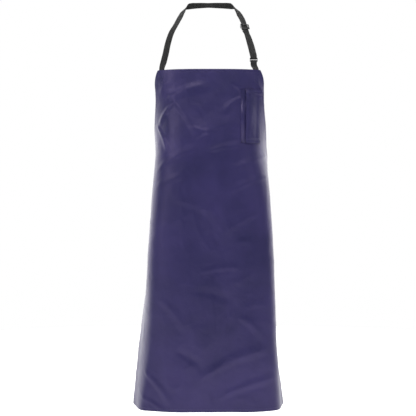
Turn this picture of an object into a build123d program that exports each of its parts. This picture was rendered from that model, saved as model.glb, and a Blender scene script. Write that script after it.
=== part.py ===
from build123d import *
import os
from math import cos, sin

import numpy as np

# A bib apron of coated cloth, hanging as it is worn. The origin is the middle of the neck
# strap behind the wearer's neck. +Z is up, -Y is the way the wearer faces, and +X is towards
# the side that carries the neck strap's slider. All lengths are in millimetres.

# ---------------------------------------------------------------- cloth
CLOTH_T = 1.2
PANEL_TOP = -235.5          # height of the bib's top edge
PANEL_LENGTH = 1074.5
HEM_Z = PANEL_TOP - PANEL_LENGTH
WAIST_HALF = 345.0          # half the cloth's flat width, from the waist to the hem
ARM_HALF = 186.5            # half the flat width at the foot of the bib's straight side
TOP_HALF = 168.5            # half the flat width at the very top
ARM_Z = -285.0              # where the armhole curve begins
WAIST_Z = -565.0            # where the armhole curve ends

# ---------------------------------------------------------------- webbing and hardware
WEB_W = 20.0
WEB_T = 1.5
SLEEVE_T = 2 * WEB_T        # two thicknesses of webbing sewn together
GAP = 0.3                   # clearance between pieces that lie on each other
BAR_R = 2.0                 # round bars that webbing folds over
FOLD_R = BAR_R + GAP + WEB_T / 2   # radius of a fold's middle line

# How the cloth turns round the body. At each height: the arc length from the middle of the
# front to the turn, the angle of that turn and its softness, for the left and right side,
# then how round the front is in degrees, and how far forward its middle is.
DRAPE = (
    # height, turn left, right, angle left, right, softness left, right, roundness, front
    (-240.0, 150.0, 171.0, 35.0, 38.0, 60.0, 60.0, 20.0, -174.0),
    (-385.0, 148.0, 157.0, 55.0, 48.5, 55.0, 55.0, 24.0, -183.0),
    (-485.0, 157.0, 158.0, 65.0, 56.0, 48.0, 50.0, 26.0, -188.0),
    (-585.0, 171.0, 183.0, 67.5, 64.5, 42.0, 45.0, 28.0, -190.0),
    (-809.0, 187.0, 206.0, 67.5, 73.0, 32.0, 36.0, 28.0, -190.0),
    (-1109.0, 192.0, 214.0, 54.0, 67.5, 22.0, 28.0, 28.0, -190.0),
    (-1310.0, 214.0, 225.0, 53.5, 60.0, 18.0, 26.0, 28.0, -190.0),
)
ARC = np.linspace(0.0, 420.0, 841)     # arc lengths at which a plan curve is worked out


def drape_at(z, column):
    """A column of DRAPE at height z: a cubic through the rows with slopes from neighbours."""
    heights = np.array([row[0] for row in DRAPE])
    values = np.array([row[column] for row in DRAPE])
    slopes = np.gradient(values, heights)
    z = min(max(z, heights[-1]), heights[0])
    i = min(int(np.searchsorted(-heights, -z, side="right")) - 1, len(heights) - 2)
    span = heights[i + 1] - heights[i]
    t = (z - heights[i]) / span
    blend = 3 * t * t - 2 * t ** 3
    return ((1 - blend) * values[i] + blend * values[i + 1]
            + span * (t * (1 - t) ** 2 * slopes[i] - t * t * (1 - t) * slopes[i + 1]))


def plan(side, z):
    """Plan curve of the cloth at height z: x out from the middle, y and heading, over ARC.

    heading(s) = roundness * (1 - exp(-(s/c)^2)) + angle * (1 + tanh((s - c) / softness)) / 2
    """
    k = 0 if side < 0 else 1
    turn, angle, soft = (drape_at(z, column + k) for column in (1, 3, 5))
    heading = np.radians(drape_at(z, 7)) * (1 - np.exp(-(ARC / turn) ** 2))
    heading += np.radians(angle) * (1 + np.tanh((ARC - turn) / soft)) / 2
    heading -= heading[0] * np.exp(-ARC / 40)
    middle = (heading[1:] + heading[:-1]) / 2
    step = ARC[1] - ARC[0]
    x = np.concatenate(([0.0], np.cumsum(np.cos(middle)) * step))
    y = np.concatenate(([0.0], np.cumsum(np.sin(middle)) * step))
    return x, y + drape_at(z, 8), heading


def on_cloth(s, z, out=0.0):
    """Point at arc length s (positive to the right) and height z, out from the outer face."""
    side = -1 if s < 0 else 1
    x, y, heading = plan(side, z)
    a = np.interp(abs(s), ARC, heading)
    px = np.interp(abs(s), ARC, x) + out * sin(a)
    py = np.interp(abs(s), ARC, y) - out * cos(a)
    return Vector(side * px, py, z)


def half_width(z):
    """Half of the cloth's flat width at height z: bib, armhole curve, then straight sides."""
    if z > ARM_Z:
        t = (z - ARM_Z) / (PANEL_TOP - ARM_Z)
        return ARM_HALF - (ARM_HALF - TOP_HALF) * t * t
    t = min((ARM_Z - z) / (ARM_Z - WAIST_Z), 1.0)
    return ARM_HALF + (WAIST_HALF - ARM_HALF) * t ** 1.9


def smooth(t):
    """Smooth step from 0 to 1."""
    t = min(max(t, 0.0), 1.0)
    return t * t * (3 - 2 * t)


def cloth_sheet(arcs, heights, out, thickness=CLOTH_T):
    """A thin sheet that follows the cloth, lofted straight from one height to the next.

    arcs(z) gives the arc lengths of one row, and out(s, z) how far the sheet's inner face
    stands off the cloth's outer face there. The thickness is laid outwards from it.
    """
    rows = []
    for z in heights:
        inner = [on_cloth(s, z, out(s, z)) for s in arcs(z)]
        outer = [on_cloth(s, z, out(s, z) + thickness) for s in arcs(z)]
        rows.append(Wire([
            Edge.make_spline(outer),
            Edge.make_line(outer[-1], inner[-1]),
            Edge.make_spline(inner[::-1]),
            Edge.make_line(inner[0], outer[0]),
        ]))
    return Solid.make_loft(rows, ruled=True)


# ---------------------------------------------------------------- small builders
def export(node, *solids):
    """Write one node: a single solid, or several separate ones together."""
    shape = solids[0] if len(solids) == 1 else Compound(children=list(solids))
    export_step(shape, f"parts/{node}.step")


def box_between(low, high):
    size = [b - a for a, b in zip(low, high)]
    centre = [(a + b) / 2 for a, b in zip(low, high)]
    return Pos(*centre) * Box(*size)


def ribbon(stations, thickness=WEB_T, ruled=True):
    """A webbing solid lofted through stations of (centre, direction along, width direction)."""
    wires = []
    for centre, along, wide in stations:
        wide = (wide - along * wide.dot(along)).normalized()
        plane = Plane(origin=centre, x_dir=wide, z_dir=along)
        wires.append((plane * Rectangle(WEB_W, thickness)).wire())
    return Solid.make_loft(wires, ruled=ruled)


def stations_along(points, wides):
    """Ribbon stations through points, each heading along the line between its neighbours."""
    stations = []
    for i, point in enumerate(points):
        before, after = points[max(i - 1, 0)], points[min(i + 1, len(points) - 1)]
        stations.append((point, (after - before).normalized(), wides[i]))
    return stations


def fold(plane, radius):
    """Webbing folded half round a bar that runs along the plane's x axis.

    radius is that of the fold's middle line. The fold lies on the plane's -y side, and its
    two ends are at z = +radius and z = -radius in that plane.
    """
    outer, inner = radius + WEB_T / 2, radius - WEB_T / 2
    ring = Cylinder(outer, WEB_W) - Cylinder(inner, WEB_W)
    half = ring & Pos(0, -outer, 0) * Box(3 * outer, 2 * outer, 2 * WEB_W)
    return plane * (Rot(0, 90, 0) * half)


def straight_web(start, end, wide, thickness=WEB_T):
    along = (end - start).normalized()
    return ribbon([(start, along, wide), (end, along, wide)], thickness)


# ================================================================ slider
# Both sliders are the same: two outer bars in front of the strap, and a round middle bar
# behind it, which the strap's end is sewn round. The local x axis runs along the bars, the
# strap runs along y in the plane z = 0, and +z points away from the wearer.
SLIDER_HALF_W = 14.4
SLIDER_HALF_H = 10.0
SLIDER_WALL = 2.7           # width of each end
MID_R = 1.2                 # radius of the middle bar
MID_FOLD_R = MID_R + GAP + WEB_T / 2
MID_DROP = WEB_T / 2 + 0.4 + MID_FOLD_R + WEB_T / 2    # middle bar behind the strap
FRONT_LOW, FRONT_HIGH = 1.1, 3.2                       # the outer bars, in front of the strap


def tri_glide():
    profile = Polygon(
        (-SLIDER_HALF_H, FRONT_HIGH - 0.6), (-SLIDER_HALF_H + 1, FRONT_HIGH),
        (SLIDER_HALF_H - 1, FRONT_HIGH), (SLIDER_HALF_H, FRONT_HIGH - 0.6),
        (SLIDER_HALF_H, FRONT_LOW), (2.6, -MID_DROP - MID_R), (-2.6, -MID_DROP - MID_R),
        (-SLIDER_HALF_H, FRONT_LOW), align=None,
    )
    body = Part()
    for side in (-1, 1):
        start = SLIDER_HALF_W - SLIDER_WALL if side > 0 else -SLIDER_HALF_W
        body += extrude(Plane(origin=(start, 0, 0), x_dir=(0, 1, 0), z_dir=(1, 0, 0)) * profile,
                        SLIDER_WALL, dir=(1, 0, 0))
    for y in (-1, 1):
        bar = Box(2 * SLIDER_HALF_W - 2, 3.2, FRONT_HIGH - FRONT_LOW)
        bar = fillet(bar.edges().filter_by(Axis.X), 0.8)
        body += Pos(0, y * (SLIDER_HALF_H - 1.6), (FRONT_LOW + FRONT_HIGH) / 2) * bar
    body += Pos(0, 0, -MID_DROP) * Rot(0, 90, 0) * Cylinder(MID_R, 2 * SLIDER_HALF_W - 2)
    return body


def slider_fold(origin, wide, out, up):
    """The strap's end, folded round the middle bar and sewn back on itself."""
    middle = origin - out * MID_DROP
    plane = Plane(origin=middle, x_dir=wide, z_dir=out)
    if plane.y_dir.dot(up) > 0:
        plane = Plane(origin=middle, x_dir=wide, z_dir=out * -1)
    loop = fold(plane, MID_FOLD_R)
    front = middle + out * MID_FOLD_R
    back = middle - out * MID_FOLD_R
    loop += straight_web(front, front - up * 5.5, wide)
    loop += straight_web(back, back - up * 9.0, wide)
    return loop


# ================================================================ neck strap
# The strap is one length of webbing. It is sewn inside the bib's left corner, goes round the
# neck, through the slider, round the ring's upper bar and back up to the slider, where its
# end is sewn round the slider's middle bar.
X_AXIS = Vector(1, 0, 0)
RING_HALF_H = 7.3
RING_HALF_W = 12.4
RING_SIDE = 2.0             # width of each end
BAR_DROP = RING_HALF_H - BAR_R
RING = Vector(143.9, -127.5, -199.7)
SLIDER = Vector(117.9, -65.0, -83.4)
RING_DOWN = Vector(0, RING.Y - SLIDER.Y, RING.Z - SLIDER.Z).normalized()
RING_OUT = Vector(0, RING_DOWN.Z, -RING_DOWN.Y)         # away from the wearer
UPPER_BAR = RING - RING_DOWN * BAR_DROP
LOWER_BAR = RING + RING_DOWN * BAR_DROP                 # the apron swings about this bar

RUN_FOOT = UPPER_BAR + RING_OUT * FOLD_R                # where the front layer meets the fold
RETURN_FOOT = UPPER_BAR - RING_OUT * FOLD_R
RUN = (RUN_FOOT - SLIDER).normalized()
RUN_WIDE = Vector(-RUN.Y, RUN.X, 0).normalized()
RUN_OUT = Vector(*(RUN.cross(RUN_WIDE)))
TWIST = 32.0                # length over which the strap turns to lie square on the ring
RUN_TOP = SLIDER - RUN * (SLIDER_HALF_H + 8)
RUN_END = RUN_FOOT - RUN * TWIST

LEFT_FLEX = Vector(-143.0, LOWER_BAR.Y, LOWER_BAR.Z)    # where the left run flexes
STRAP_CUT = 1.5             # half the break in the webbing there

# Middle line of the strap from the left flexing point to the slider, with the direction of
# the strap's width at each point: it lies flat against the body all the way round.
NECK_ROUTE = (
    ((-142.6, LEFT_FLEX.Y + 1, LEFT_FLEX.Z + STRAP_CUT), (-1, 0, 0)),
    ((-138.5, -117.0, -178.0), (-1, 0.05, 0)),
    ((-131.3, -99.0, -146.7), (-1, 0.15, 0)),
    ((-119.5, -76.0, -103.3), (-1, 0.3, 0)),
    ((-105.7, -57.0, -73.6), (-0.95, 0.4, -0.05)),
    ((-90.0, -31.0, -37.0), (-0.85, 0.5, -0.2)),
    ((-76.0, -10.0, -13.0), (-0.55, 0.7, -0.45)),
    ((-50.0, -1.5, -2.0), (-0.15, 0.77, -0.6)),
    ((0.0, 0.0, 0.0), (0.0, 0.77, -0.64)),
    ((52.0, -1.5, -2.0), (0.15, 0.77, -0.6)),
    ((79.0, -10.0, -12.0), (0.55, 0.7, -0.45)),
    ((94.0, -28.0, -30.0), (0.8, 0.55, -0.2)),
    ((105.5, -45.0, -50.0), (0.92, 0.42, -0.05)),
)


def neck_strap():
    """Round the neck along a smooth curve, straight down past the slider, then to the ring."""
    points = [Vector(*point) for point, wide in NECK_ROUTE] + [RUN_TOP]
    wides = [Vector(*wide).normalized() for point, wide in NECK_ROUTE] + [RUN_WIDE]
    # each station between two points of the route carries a mix of their width directions
    stations = []
    curve = Edge.make_spline(points, tangents=[Vector(0.12, 0.5, 0.86), RUN])
    marks = [curve.param_at_point(point) for point in points]
    for i in range(len(points) - 1):
        for step in range(4):
            t = step / 4
            mark = marks[i] + t * (marks[i + 1] - marks[i])
            wide = wides[i] * (1 - t) + wides[i + 1] * t
            stations.append((curve.position_at(mark), curve.tangent_at(mark), wide))
    stations.append((RUN_TOP, RUN, RUN_WIDE))
    stations.append((RUN_END, RUN, RUN_WIDE))
    stations.append((RUN_END + RUN * TWIST / 2, (RUN + RING_DOWN).normalized(),
                     RUN_WIDE + X_AXIS))
    stations.append((RUN_FOOT, RING_DOWN, X_AXIS))
    return (ribbon(stations)
            + fold(Plane(origin=UPPER_BAR, x_dir=X_AXIS, z_dir=RING_OUT), FOLD_R))


def neck_strap_return():
    """The back layer, from the fold at the ring up to the slider."""
    slider_end = SLIDER - RUN_OUT * (MID_DROP + MID_FOLD_R) + RUN * (9.0 + GAP)
    along = (slider_end - RETURN_FOOT).normalized()
    return ribbon([
        (RETURN_FOOT, RING_DOWN * -1, X_AXIS),
        (RETURN_FOOT + along * TWIST, along, RUN_WIDE),
        (slider_end, along, RUN_WIDE),
    ])


def neck_ring():
    """Rectangular ring: two round bars joined by flat ends."""
    ring = Part()
    for y in (BAR_DROP, -BAR_DROP):
        ring += Pos(0, y, 0) * Rot(0, 90, 0) * Cylinder(BAR_R, 2 * RING_HALF_W - 2)
    for side in (-1, 1):
        end = Box(RING_SIDE, 2 * RING_HALF_H, 2 * BAR_R)
        end = fillet(end.edges().filter_by(Axis.X), 1.2)
        ring += Pos(side * (RING_HALF_W - RING_SIDE / 2), 0, 0) * end
    return Plane(origin=RING, x_dir=X_AXIS, z_dir=RING_OUT) * ring


# ================================================================ what hangs from the strap
STRAP_S = 154.0             # arc length at which both strap ends are sewn in
SEWN_DEPTH = 46.0           # how far they reach down behind the bib's edge


def sewn_stations(side, inset):
    """Stations of a strap end that lies flat on the inside of the bib."""
    stations = []
    for drop in (-3.0, 12.0, SEWN_DEPTH):
        z = PANEL_TOP - drop
        face = on_cloth(side * STRAP_S, min(z, PANEL_TOP), -CLOTH_T - inset)
        near = on_cloth(side * (STRAP_S - 4), min(z, PANEL_TOP), -CLOTH_T - inset)
        far = on_cloth(side * (STRAP_S + 4), min(z, PANEL_TOP), -CLOTH_T - inset)
        wide = Vector(far.X - near.X, far.Y - near.Y, 0) * side
        stations.append((Vector(face.X, face.Y, z), Vector(0, 0, -1), wide))
    return stations


def left_strap_end():
    start = LEFT_FLEX + Vector(-0.4, -1, -STRAP_CUT)
    stations = sewn_stations(-1, WEB_T / 2 + 0.7)
    along = (stations[0][0] - start).normalized()
    return ribbon([(start, along, X_AXIS)] + stations)


def ring_tab():
    """Webbing folded over the ring's lower bar, its two layers sewn together below."""
    tab = Part() + fold(Plane(origin=LOWER_BAR, x_dir=X_AXIS, z_dir=RING_OUT * -1), FOLD_R)
    meet = LOWER_BAR + RING_DOWN * 15
    for side in (-1, 1):
        top = LOWER_BAR + RING_OUT * (side * FOLD_R)
        tab += straight_web(top, meet + RING_OUT * (side * WEB_T / 2), X_AXIS)
    tab += ribbon([(meet - RING_DOWN * 1.5, RING_DOWN, X_AXIS)]
                  + sewn_stations(1, SLEEVE_T / 2 + 0.7), SLEEVE_T)
    return tab


PANEL_HEIGHTS = [PANEL_TOP, -260, ARM_Z, -315, -350, -390, -430, -470, -505, -535, WAIST_Z]
PANEL_HEIGHTS += [WAIST_Z - d for d in (18, 36, 70, 110, 200, 320, 440, 560, 660)] + [HEM_Z]


def apron_panel():
    return cloth_sheet(lambda z: np.linspace(-half_width(z), half_width(z), 25),
                       PANEL_HEIGHTS, lambda s, z: -CLOTH_T)


# ---------------------------------------------------------------- pocket
POCKET_TOP = -299.0
POCKET_FOOT = -468.0
POCKET_IN, POCKET_OUT = 117.0, 176.0       # arc lengths of its free and its sewn side
POCKET_BULGE = 8.0
FLANGE_IN, FLANGE_OUT = 102.0, 109.0       # the strip of the gusset sewn to the bib
GUSSET_END = 133.0                         # where it ends, behind the front
POCKET_HEIGHTS = (POCKET_TOP, -340.0, -385.0, -430.0, -440.0, -450.0, -458.0, POCKET_FOOT)


def pocket_out(s, z):
    """How far the pocket's front stands off the bib: it closes at its foot and outer side."""
    lies_on_gusset = (CLOTH_T + GAP) * smooth((GUSSET_END + 14 - s) / 12)
    gape = POCKET_BULGE * smooth((POCKET_OUT - s) / 30) * smooth((z + 458) / 28)
    return GAP + lies_on_gusset + gape


def gusset_out(s, z):
    """The gusset lies on the bib, then rises to lie against the back of the pocket's edge."""
    under_front = pocket_out(s, z) - GAP - CLOTH_T
    rise = smooth((s - FLANGE_OUT) / 8)
    return GAP * (1 - rise) + under_front * rise


def pen_pocket():
    return cloth_sheet(lambda z: np.linspace(POCKET_IN, POCKET_OUT, 14), POCKET_HEIGHTS,
                       pocket_out)


def pocket_gusset():
    return cloth_sheet(lambda z: np.linspace(FLANGE_IN, GUSSET_END, 17), POCKET_HEIGHTS, gusset_out)


# ---------------------------------------------------------------- seams
THREAD = 0.8                # width of a line of stitching
THREAD_T = 0.4              # how far it stands up
SEAM_GAP = 0.35             # how far it stands off the cloth
SEAM_IN = 5.0               # hem seams, in from the cloth's edge


def level_seam(s_low, s_high, z, out=lambda s, z: SEAM_GAP):
    """A line of stitching at one height."""
    arcs = np.linspace(s_low, s_high, 21)
    return cloth_sheet(lambda z: arcs, (z, z - THREAD), out, THREAD_T)


def upright_seam(arc, heights, out=lambda s, z: SEAM_GAP):
    """A line of stitching at the arc length arc(z)."""
    return cloth_sheet(lambda z: (arc(z), arc(z) + THREAD / 2, arc(z) + THREAD), heights, out,
                       THREAD_T)


def strap_box(s, z_high, z_low):
    """The square of stitching that holds a strap end, on the cloth's outer face."""
    half = WEB_W / 2 - 3
    lines = [level_seam(s - half, s + half, z) for z in (z_high, z_low)]
    for edge in (s - half, s + half - THREAD):
        lines.append(upright_seam(lambda z, edge=edge: edge, (z_high - THREAD - 0.2,
                                                              z_low + 0.2)))
    return lines


def hem_seams():
    seam = SEAM_IN
    lines = [level_seam(-TOP_HALF + 2 * seam, TOP_HALF - 2 * seam, PANEL_TOP - 9)]
    edge = WAIST_HALF - 2 * seam
    lines.append(level_seam(-edge, edge, HEM_Z + seam))
    heights = [z for z in PANEL_HEIGHTS[1:-1]] + [HEM_Z + 2 * seam]
    lines.append(upright_seam(lambda z: seam - half_width(z), heights))
    lines.append(upright_seam(lambda z: half_width(z) - seam, heights))
    return lines


def pocket_seams():
    """Two seams on each pocket hem, one down its outer side and one down the flange."""
    def on_pocket(s, z):
        return pocket_out(s, z) + CLOTH_T + SEAM_GAP

    def on_gusset(s, z):
        return gusset_out(s, z) + CLOTH_T + SEAM_GAP

    inner, outer = POCKET_IN + 2, POCKET_OUT - 2
    lines = [level_seam(inner, outer, z, on_pocket)
             for z in (POCKET_TOP - 6, POCKET_TOP - 12, POCKET_FOOT + 11, POCKET_FOOT + 3)]
    upright = (POCKET_TOP - 14,) + POCKET_HEIGHTS[1:-2]
    lines.append(upright_seam(lambda z: POCKET_OUT - 8, upright, on_pocket))
    lines.append(upright_seam(lambda z: FLANGE_IN + 3, upright, on_gusset))
    return lines


# ================================================================ waist belt
# A webbing belt draws the cloth's sides back. Its left half ends in a buckle's socket, and
# its right half runs through a slider and folds round the bar of the buckle's prong.
BELT_Z = WAIST_Z - 26.0
BELT_Y = 75.0               # middle of the webbing across the back
BELT_BEND = 50.0
BELT_SEWN = 45.0            # how much of each half is sewn inside the cloth's edge
UP = Vector(0, 0, 1)
BACK = Vector(0, 1, 0)
BAR_Y = BELT_Y - FOLD_R     # the buckle's bars lie inside the outer layer of webbing


def belt_stations(side, end_x):
    """Stations from the sewn end, round the side and along the back to x = end_x."""
    inset = -CLOTH_T - 1.0 - WEB_T / 2
    points = [on_cloth(side * s, BELT_Z, inset)
              for s in np.linspace(WAIST_HALF - BELT_SEWN, WAIST_HALF, 5)]
    last, before = points[-1], points[-2]
    heading = (last - before).normalized()
    # turning from this heading to straight across the back takes up this much depth
    bend_depth = BELT_BEND * (1 + side * heading.X)
    run = (BELT_Y - last.Y - bend_depth) / heading.Y
    start = last + heading * run
    across = Vector(-heading.Y * side, heading.X * side, 0)
    centre = start + across * BELT_BEND
    points.append(start)
    spoke = start - centre
    sweep = heading.get_angle(Vector(-side, 0, 0))
    for i in range(1, 9):
        points.append(centre + spoke.rotate(Axis.Z, side * sweep * i / 8))
    points.append(Vector(end_x, points[-1].Y, BELT_Z))
    return stations_along(points, [UP] * len(points))


def belt_strip(x_low, x_high, y):
    """A straight length of webbing across the back, with its middle at depth y."""
    return box_between((x_low, y - WEB_T / 2, BELT_Z - WEB_W / 2),
                       (x_high, y + WEB_T / 2, BELT_Z + WEB_W / 2))


def upright_bar(x, radius, length, y=BAR_Y):
    return Pos(x, y, BELT_Z) * Cylinder(radius, length)


# Buckle: the socket's mouth is at x = 0, and the prong's arms reach in from the right.
SOCKET_L, SOCKET_H, SOCKET_D = 34.0, 31.0, 10.4
WALL = 1.7
SOCKET_BAR_X = -SOCKET_L - 7.0
BASE_L = 11.0
PRONG_BAR_X = BASE_L + 9.0
BELT_SLIDER_X = 110.0
LOOP_END = PRONG_BAR_X + 6.0


def bar_frame(x_bar, x_body, height):
    """Two cheeks and a round bar for webbing, joined to a body whose face is at x_body."""
    low, high = sorted((x_bar, x_body))
    frame = upright_bar(x_bar, BAR_R, height - 2)
    for side in (-1, 1):
        z = BELT_Z + side * (height / 2 - 1.4)
        reach = -BAR_R if x_bar < x_body else 0.0
        frame += box_between((low + reach, BAR_Y - BAR_R, z - 1.4),
                             (high + BAR_R + reach, BAR_Y + BAR_R, z + 1.4))
    return frame


WINDOW = (-27.0, -12.0)     # where the arms' shoulders show in the socket's edges
ARM_T = 4.8


def buckle_socket():
    half_h, half_d = SOCKET_H / 2, SOCKET_D / 2
    body = box_between((-SOCKET_L, BAR_Y - half_d, BELT_Z - half_h),
                       (0, BAR_Y + half_d, BELT_Z + half_h))
    body = fillet(body.edges().filter_by(Axis.X), 2.0)
    body -= box_between((-SOCKET_L + WALL, BAR_Y - half_d + WALL, BELT_Z - half_h + WALL),
                        (1, BAR_Y + half_d - WALL, BELT_Z + half_h - WALL))
    body -= box_between((WINDOW[0], BAR_Y - ARM_T / 2 - 0.6, BELT_Z - half_h - 1),
                        (WINDOW[1], BAR_Y + ARM_T / 2 + 0.6, BELT_Z + half_h + 1))
    return body + bar_frame(SOCKET_BAR_X, -SOCKET_L, 27.0)


def buckle_prong():
    """The prong's base with its webbing bar and the tongue between the two arms."""
    base = box_between((0.6, BAR_Y - 4.2, BELT_Z - 14.5), (BASE_L, BAR_Y + 4.2, BELT_Z + 14.5))
    base = fillet(base.edges().filter_by(Axis.Y), 2.5)
    tongue = box_between((-30, BAR_Y - 2.0, BELT_Z - 2.6), (1, BAR_Y + 2.0, BELT_Z + 2.6))
    return base + tongue + bar_frame(PRONG_BAR_X, BASE_L, 27.0)


def prong_arm(side):
    """A sprung arm: a leaf that runs into the socket and widens to a shoulder."""
    outline = Polygon(
        (0.2, 7.2), (0.2, 10.2), (-11.5, 11.0), (-13.0, 15.2), (-22.0, 14.6), (-26.0, 10.5),
        (-26.0, 7.8), (-13.0, 8.0), align=None,
    )
    arm = extrude(Plane(origin=(0, BAR_Y + ARM_T / 2, BELT_Z), x_dir=(1, 0, 0),
                        z_dir=(0, -1, 0)) * outline, ARM_T, dir=(0, -1, 0))
    return arm if side > 0 else mirror(arm, Plane.XY.offset(BELT_Z))


def waist_strap_left():
    """Sewn end, run to the socket's bar, fold, and the end sewn back on the run."""
    strap = Part() + ribbon(belt_stations(-1, SOCKET_BAR_X))
    plane = Plane(origin=(SOCKET_BAR_X, BAR_Y, BELT_Z), x_dir=UP, z_dir=BACK * -1)
    strap += fold(plane, FOLD_R)
    meet = Vector(SOCKET_BAR_X - 15, BELT_Y - WEB_T, BELT_Z)
    strap += straight_web(Vector(SOCKET_BAR_X, BAR_Y - FOLD_R, BELT_Z), meet, UP)
    strap += belt_strip(meet.X - 22, meet.X + 0.4, BELT_Y - WEB_T)
    return strap


def prong_strap_loop():
    """The short length of webbing round the prong's bar."""
    plane = Plane(origin=(PRONG_BAR_X, BAR_Y, BELT_Z), x_dir=UP, z_dir=BACK)
    loop = Part() + fold(plane, FOLD_R)
    for y in (BELT_Y, BAR_Y - FOLD_R):
        loop += belt_strip(PRONG_BAR_X, LOOP_END, y)
    return loop


def main():
    os.makedirs("parts", exist_ok=True)

    export("neck_strap", neck_strap())
    export("neck_ring", neck_ring())
    export("neck_strap_return", neck_strap_return())
    slider_plane = Plane(origin=SLIDER, x_dir=RUN_WIDE, z_dir=RUN_OUT)
    export("neck_slider", slider_plane * tri_glide())
    export("neck_slider_fold", slider_fold(SLIDER, RUN_WIDE, RUN_OUT, RUN * -1))

    export("apron_panel", apron_panel())
    export("left_strap_end", left_strap_end())
    export("ring_tab", ring_tab())
    export("pen_pocket", pen_pocket())
    export("pocket_gusset", pocket_gusset())
    export("hem_stitching", *hem_seams())
    export("pocket_stitching", *pocket_seams())
    boxes = []
    for s in (-STRAP_S, STRAP_S):
        boxes += strap_box(s, PANEL_TOP - 18, PANEL_TOP - 40)
    for s in (-WAIST_HALF + 28, WAIST_HALF - 28):
        boxes += strap_box(s, BELT_Z + 7, BELT_Z - 7)
    export("strap_stitching", *boxes)

    strap_end = BELT_SLIDER_X - SLIDER_HALF_H - 2
    export("waist_strap_left", waist_strap_left())
    export("waist_strap_right", ribbon(belt_stations(1, strap_end)))
    export("waist_strap_run", belt_strip(LOOP_END + GAP, strap_end - GAP, BELT_Y))
    belt_slider = Vector(BELT_SLIDER_X, BELT_Y, BELT_Z)
    belt_plane = Plane(origin=belt_slider, x_dir=UP, z_dir=BACK)
    export("waist_slider", belt_plane * tri_glide())
    export("waist_slider_fold", slider_fold(belt_slider, UP, BACK, X_AXIS))
    return_y = BELT_Y - MID_DROP - MID_FOLD_R
    export("waist_strap_return",
           belt_strip(LOOP_END + GAP, BELT_SLIDER_X - 9.0 - GAP, return_y))
    export("prong_strap_loop", prong_strap_loop())
    export("buckle_socket", buckle_socket())
    export("buckle_prong", buckle_prong())
    export("prong_arm_upper", prong_arm(1))
    export("prong_arm_lower", prong_arm(-1))


main()
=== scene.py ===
import math

import bmesh
import bpy
import numpy as np
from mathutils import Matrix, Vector


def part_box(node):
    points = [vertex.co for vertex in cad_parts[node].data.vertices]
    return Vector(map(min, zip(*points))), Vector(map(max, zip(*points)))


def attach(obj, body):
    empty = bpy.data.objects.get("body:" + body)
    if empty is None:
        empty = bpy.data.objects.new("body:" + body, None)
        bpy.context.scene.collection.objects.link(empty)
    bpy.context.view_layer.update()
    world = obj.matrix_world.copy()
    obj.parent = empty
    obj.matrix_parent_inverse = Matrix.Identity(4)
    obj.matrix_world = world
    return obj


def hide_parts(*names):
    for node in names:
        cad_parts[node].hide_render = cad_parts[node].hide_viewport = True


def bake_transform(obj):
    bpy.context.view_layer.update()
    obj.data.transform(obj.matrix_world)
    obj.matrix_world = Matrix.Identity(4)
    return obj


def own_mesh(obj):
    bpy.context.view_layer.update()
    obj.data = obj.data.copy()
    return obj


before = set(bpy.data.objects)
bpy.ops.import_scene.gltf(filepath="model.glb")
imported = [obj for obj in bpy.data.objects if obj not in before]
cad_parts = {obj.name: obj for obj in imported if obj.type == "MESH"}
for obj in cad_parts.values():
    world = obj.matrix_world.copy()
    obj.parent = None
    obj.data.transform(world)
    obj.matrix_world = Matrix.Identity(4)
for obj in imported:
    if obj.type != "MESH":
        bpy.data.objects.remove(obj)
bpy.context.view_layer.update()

# A bib apron of coated cloth, hanging as worn: origin at the neck strap behind the nape,
# +Z up, -Y the way the wearer faces, +X towards the pocket and the slider. Metres.
MM = 0.001

# ------------------------------------------------------------------ sizes shared with the CAD
CLOTH_T = 0.8 * MM          # the cloth's own thickness
PANEL_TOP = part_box("apron_panel")[1].z
HEM_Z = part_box("apron_panel")[0].z
WAIST_HALF = 345 * MM       # half the flat width from the waist down
ARM_HALF = 186.5 * MM       # where the armhole curve starts
TOP_HALF = 168.5 * MM       # at the bib's top edge
ARM_Z = -285 * MM
WAIST_Z = -565 * MM
HEM_W = 13 * MM             # how far each hem is folded in
HEM_R = 0.55 * MM           # radius of the fold
LAYER = 2 * HEM_R           # from the face's middle to the hem's middle
WEB_W = 20 * MM
WEB_T = 1.5 * MM
GAP = 0.3 * MM              # between the pocket and the bib
FOLD_R = 3.05 * MM          # webbing's middle line round the ring's and the buckle's bars
STRAP_S = 154 * MM          # arc length at which both neck strap ends are sewn in
SEWN_DEPTH = 46 * MM
BELT_Z = WAIST_Z - 26 * MM
BELT_SEWN = 45 * MM

# How the cloth turns round the body, by height: arc length to the turn, the turn's angle in
# degrees and its softness, each for left and right, then the front's roundness in degrees
# and how far forward its middle stands. Lengths in millimetres.
DRAPE = np.array((
    (-240, 150, 171, 35, 38, 60, 60, 20, -174),
    (-385, 148, 157, 55, 48.5, 55, 55, 24, -183),
    (-485, 157, 158, 65, 56, 48, 50, 26, -188),
    (-585, 171, 183, 67.5, 64.5, 42, 45, 28, -190),
    (-809, 187, 206, 67.5, 73, 32, 36, 28, -190),
    (-1109, 192, 214, 54, 67.5, 22, 28, 28, -190),
    (-1310, 214, 225, 53.5, 60, 18, 26, 28, -190),
), float)


def smooth(t):
    """Smooth step 3t^2 - 2t^3 of t held to 0..1."""
    t = np.clip(t, 0.0, 1.0)
    return t * t * (3 - 2 * t)


def drape_at(z, column):
    """A column of DRAPE at the heights z: cubic through the rows, slopes from neighbours."""
    heights = DRAPE[:, 0] * MM
    values = DRAPE[:, column]
    slopes = np.gradient(values, heights)
    z = np.clip(z, heights[-1], heights[0])
    i = np.clip(np.searchsorted(-heights, -z, side="right") - 1, 0, len(heights) - 2)
    span = heights[i + 1] - heights[i]
    t = (z - heights[i]) / span
    mix = smooth(t)
    return ((1 - mix) * values[i] + mix * values[i + 1]
            + span * (t * (1 - t) ** 2 * slopes[i] - t * t * (1 - t) * slopes[i + 1]))


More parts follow.
